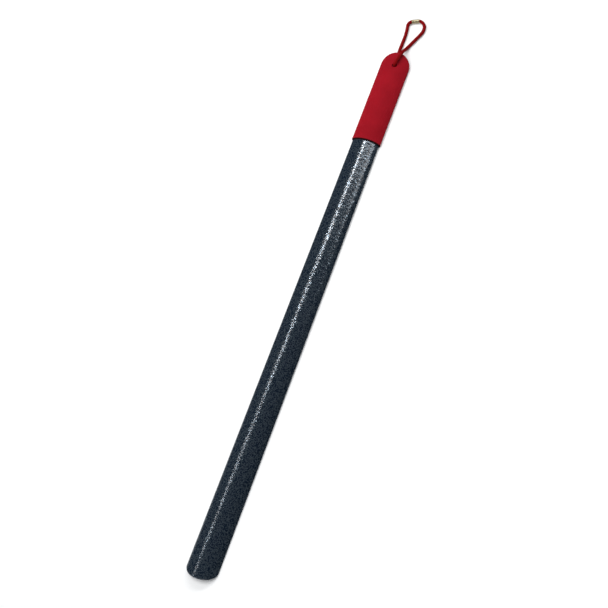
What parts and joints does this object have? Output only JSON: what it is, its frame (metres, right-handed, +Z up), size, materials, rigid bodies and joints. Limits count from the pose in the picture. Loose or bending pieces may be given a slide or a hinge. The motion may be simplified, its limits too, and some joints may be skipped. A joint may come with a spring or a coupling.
{
  "type": "long shoehorn",
  "caption": "Long-handled steel shoehorn: an arched enamelled strip with rounded ends, a dipped vinyl grip and a braided hanging loop closed by a crimp.",
  "frame": {"origin": "on the table top under the middle of the blade and grip, without the cord", "axes": "+X along the strip towards the grip, +Z up out of the arched side, +Y to the left when looking from the tip towards the grip"},
  "size_m": [0.8238, 0.0374, 0.016],
  "materials": {
    "hammered_enamel": "dark blue-black hammertone enamel on steel, glossy, with silvery dimples",
    "red_vinyl": "satin dipped vinyl",
    "red_cord": "fine round braid",
    "brass_crimp": "bright pale brass"
  },
  "bodies": {
    "shoehorn": {"steel_blade": "hammered_enamel", "vinyl_grip": "red_vinyl"},
    "bight": {"cord_bight": "red_cord"},
    "hang_loop": {"cord_loop": "red_cord", "cord_ferrule": "brass_crimp"}
  },
  "joints": [
    {"name": "cord_swing", "type": "hinge", "parent": "shoehorn", "child": "bight", "pos_m": [0.3605, 0, 0.0079], "axis": [0, 0, 1], "range_deg": [-20, 12]},
    {"name": "loop_lift", "type": "hinge", "parent": "bight", "child": "hang_loop", "pos_m": [0.405, 0, 0.00215], "axis": [0, -1, 0], "range_deg": [0, 70]}
  ]
}
